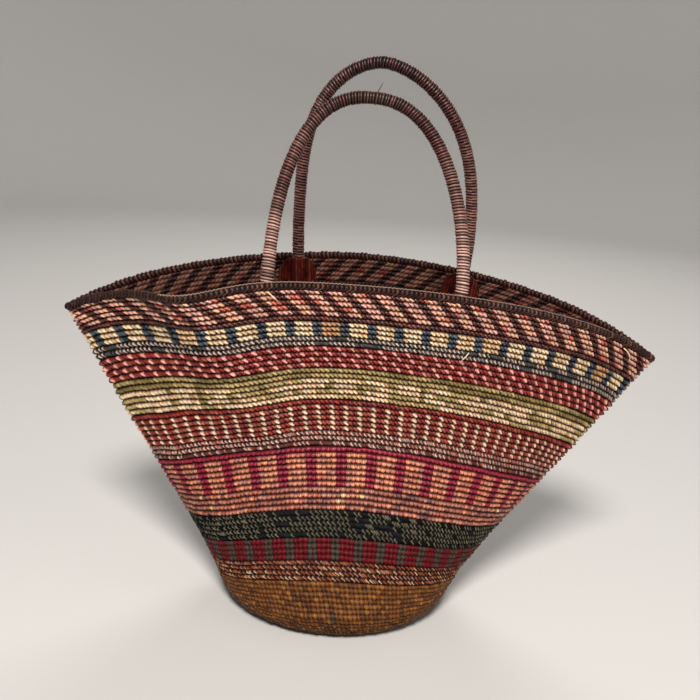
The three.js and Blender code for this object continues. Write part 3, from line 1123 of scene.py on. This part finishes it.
def make_handle(name, handle):
    feet, _, inward = handle_feet(handle)
    line = smoothed(np.concatenate((rope_end_line(feet[0]), arch_line(handle)[2:-2],
                                    rope_end_line(feet[1])[::-1])))
    share, length = even_share(line)
    wraps = int(length / wrap_pitch)
    rows = (wraps + 1) * rows_per_wrap
    tones = chance.uniform(0.5, 1.5, (wraps + 3, 1))
    fading = chance.uniform(0, math.tau, 3)
    widths = chance.uniform(-0.2, 0.2, wraps + 3)
    thick = chance.uniform(0.6, 1.15, wraps + 3)

    # The pale blend is partly the raffia's own mottling, in slow random waves, and partly painted     highlight, stronger on the legs and on the front handle. shaded darkens the top of the arch     with painted shade.
    def wrap_tone(wrap):
        slow = sum(np.sin(wrap / wraps * math.tau * k + p) for k, p in zip((1.3, 2.7, 6), fading))
        from_top = np.abs(2 * wrap / wraps - 1)
        blend = handle["lit_paleness"] * (0.15 + 1.0 * from_top**1.5 + 0.2 * slow)
        blend = np.clip(blend, 0, 1)[:, None]
        shaded = (0.32 + 0.68 * np.minimum(1.5 * from_top, 1))[:, None]
        return (mauve_brown + (pale_lit_wrap - mauve_brown) * blend) * tones[wrap] * shaded

    def drape(column, row):
        wrap = row // rows_per_wrap
        part = row % rows_per_wrap / rows_per_wrap
        along = (row / rows_per_wrap - column / rope_sides) * wrap_pitch
        along = along + widths[wrap] * wrap_pitch * np.sin(math.pi * part)
        at = np.clip(along, 0, length) / length
        point = on_line(line, share, at)
        ahead, before = np.clip(at + 0.002, 0, 1), np.clip(at - 0.002, 0, 1)
        forward = unit(on_line(line, share, ahead) - on_line(line, share, before))
        normal = unit(inward - forward * (forward @ inward)[:, None])
        side = np.cross(forward, normal)
        turned = column / rope_sides * math.tau
        crown = 1 - np.abs(2 * part - 1) ** wrap_fullness
        from_end = np.minimum(at, 1 - at) * length
        closing = np.sqrt(1 - (1 - np.clip(from_end / end_rounding, 0, 1)) ** 2)
        radius = (handle_radius - wrap_groove + wrap_rise * crown * thick[wrap]) * closing
        return point + radius[:, None] * (normal * np.cos(turned)[:, None]
                                          + side * np.sin(turned)[:, None])

    def cells(face_column, face_row, column, row):
        wrap = face_row // rows_per_wrap
        part = row / rows_per_wrap % 1
        return wrap_tone(wrap), shading(1 - np.abs(2 * part - 1) ** wrap_fullness)

    def place(column, row):
        return np.stack((row / rows, column / rope_sides), axis=-1)

    material = raffia_material("wound_" + name, (rows / rows_per_wrap, 7), 1, 0.9, 0.5)
    made = draped(name + "_handle", rope_sides, rows, drape, cells, material, place)
    lean = leaning(handle)[0]
    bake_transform(made)
    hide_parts(name + "_handle_core", name + "_handle_binding",
                name + "_left_rope_end", name + "_right_rope_end")
    print(name, "handle's rope is", round(length, 3), "m long, with", wraps, "wraps")
    return feet


feet = {name: make_handle(name, handle) for name, handle in handles.items()}

# %% [markdown]
# Each rope end is sewn down under a crocheted patch of dark yarn, inside the wall. The patch humps
# over the rope and thins out at its sides, and fine strands run up it to an arched top.

# %% Patches
patch_width = 0.038
patch_length = 0.055
patch_drop = 0.0025
patch_thickness = 0.0024
patch_hump_half_width = 0.0067
sewn_gap = 0.00075
patch_top = 0.0042
patch_round_top = 0.013
patch_ribs = 13
patch_rows = 40
patch_material = raffia_material("raffia_patch", (patch_ribs * 2, 22), 2, 0.9, 0.1)


def make_patch(name, around_foot):
    columns = patch_ribs * 4
    rows = 2 * patch_rows + 1
    hump = rim_radius + running_gap + rope_end_radius * 2 - half_wall
    tones = chance.uniform(0.5, 1.5, (patch_rows, patch_ribs, 1))
    point, _, _ = wall_frame(np.array((around_foot - 0.0005, around_foot + 0.0005)), band_top)
    rate = np.linalg.norm(point[1] - point[0]) / 0.001
    top = band_top + patch_top
    low = band_top - patch_drop - patch_length

    def climb(row):
        """Rows go up the outer face and down the inner one; 0 at the foot and 1 at the top."""
        row = row % rows
        return np.where(row <= patch_rows, row, rows - row) / patch_rows, row <= patch_rows

    def rib(column):
        return 1 - np.abs(2 * (column / 4 % 1) - 1) ** 1.6

    def drape(column, row):
        height, outer_face = climb(row)
        share = column / columns - 0.5
        arched = patch_round_top * (2 * np.abs(share)) ** 2.4
        up = low + (top - low - arched) * height
        across = share * patch_width * (1 - 0.12 * height**3)
        point, out, _ = wall_frame(around_foot + across / rate, np.minimum(up, band_top))
        point = point + upwards * np.maximum(up - band_top, 0)[:, None]
        over = hump / (1 + (across / patch_hump_half_width) ** 6)
        over = np.maximum(over, np.clip((up - band_top + 0.003) / 0.006, 0, 1) * 0.0028)
        thickness = patch_thickness * np.sqrt(1 - (2 * share) ** 6)
        wave = 0.75 + 0.25 * np.sin(height * patch_rows / 3 * math.pi + column)
        outer = half_wall + sewn_gap + over + thickness * (0.5 + 0.5 * rib(column) * wave)
        inner = half_wall + sewn_gap * 0.5 + over
        return point - out * np.where(outer_face, outer, inner)[:, None]

    def cells(face_column, face_row, column, row):
        height = (climb(face_row)[0] * (patch_rows - 1)).astype(int)
        tone = tones[height // 3 * 3 % patch_rows, (face_column // 4).clip(0, patch_ribs - 1)]
        pinkish = (face_column // 4 % 5 == 2)[:, None] * 0.06
        return wine * tone + pinkish * blush, shading(0.3 + 0.7 * rib(column))

    made = draped(name, columns, rows, drape, cells, patch_material)
    close_sides(made)
    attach(made, "bag")
    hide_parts(name)


def close_sides(piece):
    """Fills the two open sides of a patch, where its faces meet on the wall."""
    bm = bmesh.new()
    bm.from_mesh(piece.data)
    open_edges = [edge for edge in bm.edges if edge.is_boundary]
    bmesh.ops.holes_fill(bm, edges=open_edges, sides=0)
    bmesh.ops.triangulate(bm, faces=[face for face in bm.faces if len(face.verts) > 4])
    bmesh.ops.recalc_face_normals(bm, faces=bm.faces)
    bm.to_mesh(piece.data)
    bm.free()


for name, pair in feet.items():
    for place_name, foot in zip(("left", "right"), pair):
        make_patch(f"{name}_{place_name}_patch", foot[0])

# %% [markdown]
# Hand work leaves a few ends of raffia standing out. Each is a short bent thread through three
# places on the bag, given as how far round, how far up the wall and how proud of it.

# %% Loose ends
pale_ends = [
    [(0.677, 0.3070, 0.0036), (0.681, 0.3030, 0.0050), (0.685, 0.2990, 0.0030)],
    [(0.8372, 0.2700, 0.0034), (0.8350, 0.2665, 0.0046), (0.8328, 0.2630, 0.0040)],
    [(0.965, 0.3060, 0.0035), (0.972, 0.3030, 0.0062), (0.976, 0.2975, 0.0050)],
]


def bent_line(places, steps=10):
    around, up, proud = np.array(places).T
    at = np.linspace(0, 1, steps)
    share = np.linspace(0, 1, len(places))
    curve = np.polynomial.polynomial
    bend = np.array([curve.polyval(at, curve.polyfit(share, values, 2))
                     for values in (around, up, proud)])
    point, out, _ = wall_frame(bend[0], bend[1])
    return point + out * bend[2][:, None]


loose = thread_mesh("loose_ends", [bent_line(places) for places in pale_ends], pale_thread)
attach(loose, "bag")
bristle_reach = (0.004, 0, 0.0075)
bristle_foot = arch_line(handles["front"])[102] + upwards * handle_radius * 0.9
bristle_line = bristle_foot + np.linspace(0, 1, 6)[:, None] * bristle_reach
bristle = thread_mesh("bristle", [bristle_line], dark_brown)
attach(bristle, "front_handle")
print(len(pale_ends) + 1, "loose ends")
